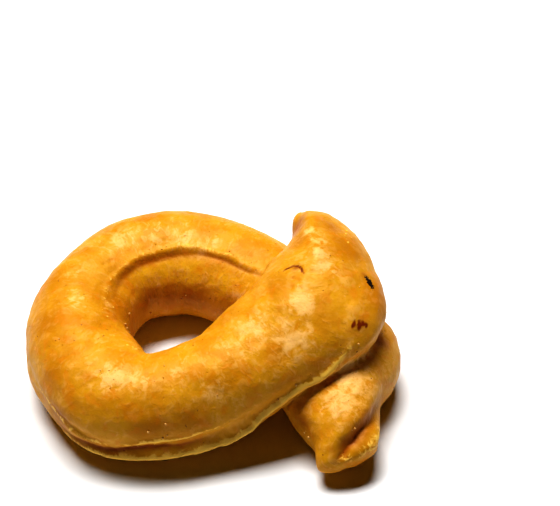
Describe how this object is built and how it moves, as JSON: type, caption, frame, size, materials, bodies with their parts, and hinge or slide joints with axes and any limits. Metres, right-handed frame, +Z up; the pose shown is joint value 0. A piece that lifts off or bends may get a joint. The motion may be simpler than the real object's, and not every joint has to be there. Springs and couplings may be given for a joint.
{
  "type": "tarallo",
  "caption": "Small hard-baked ring of rope dough with its ends crossed and pressed together, a smooth golden snack bread.",
  "frame": {"origin": "on the plane the bread lies on, below the middle of its bounding box", "axes": "+Z up; +X along the length, from the far side of the ring to the crossed ends; the lower end points to -Y"},
  "size_m": [0.044, 0.0368, 0.0176],
  "materials": {
    "crust": "smooth satin baked crust, golden with paler and browner patches"
  },
  "bodies": {
    "root": {"tarallo": "crust"}
  },
  "joints": []
}
